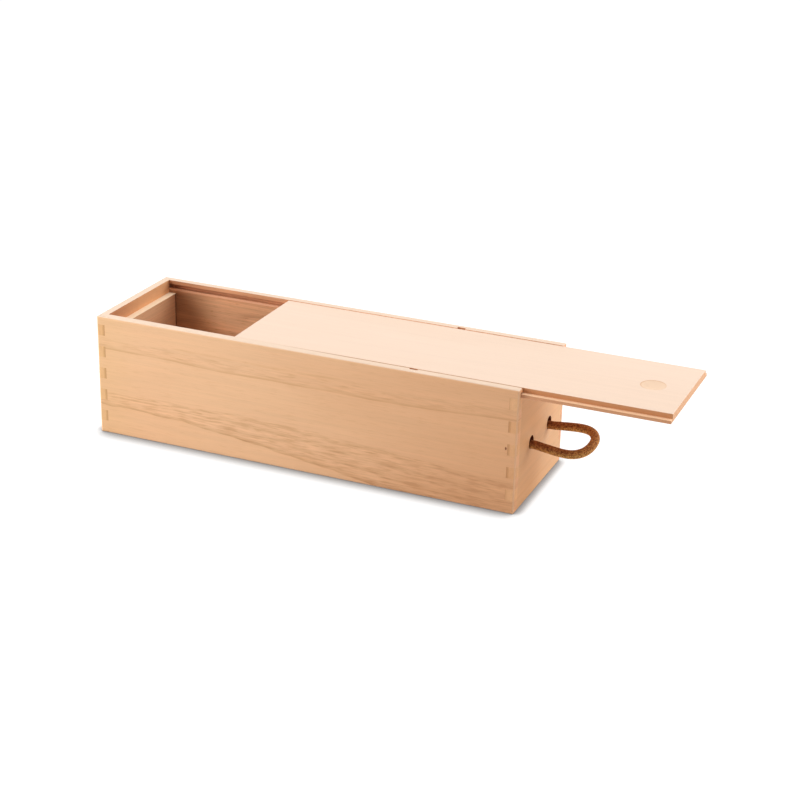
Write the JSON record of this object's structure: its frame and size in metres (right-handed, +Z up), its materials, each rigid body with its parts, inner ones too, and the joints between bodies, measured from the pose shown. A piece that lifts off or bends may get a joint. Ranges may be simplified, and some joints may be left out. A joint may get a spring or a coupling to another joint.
{
  "type": "wooden wine box",
  "caption": "Long wooden box for a wine bottle, with finger-jointed corners, a lid that slides in grooves and a rope handle on its end.",
  "frame": {"origin": "centre of the underside", "axes": "+X along the box to the end with the rope handle, where the lid slides out; +Y to the back; +Z up"},
  "size_m": [0.46, 0.108, 0.098],
  "materials": {
    "box_wood": "raw, finely sanded",
    "inner_wood": "raw, finely sanded",
    "lid_wood": "raw, finely sanded",
    "rope": "braided cord"
  },
  "bodies": {
    "box": {"front_wall": "box_wood", "back_wall": "box_wood", "left_end": "box_wood", "right_end": "box_wood", "bottom_panel": "box_wood", "bottle_stop": "inner_wood", "neck_rest": "inner_wood", "rope_tail_front": "rope", "rope_tail_back": "rope"},
    "lid": {"lid": "lid_wood"},
    "handle": {"rope_loop": "rope"}
  },
  "joints": [
    {"name": "lid_slide", "type": "slide", "parent": "box", "child": "lid", "axis": [1, 0, 0], "range_m": [-0.11, 0.24]},
    {"name": "handle_swing", "type": "hinge", "parent": "box", "child": "handle", "pos_m": [0.1786, 0, 0.0432], "axis": [0, 1, 0], "range_deg": [-80, 80]}
  ]
}
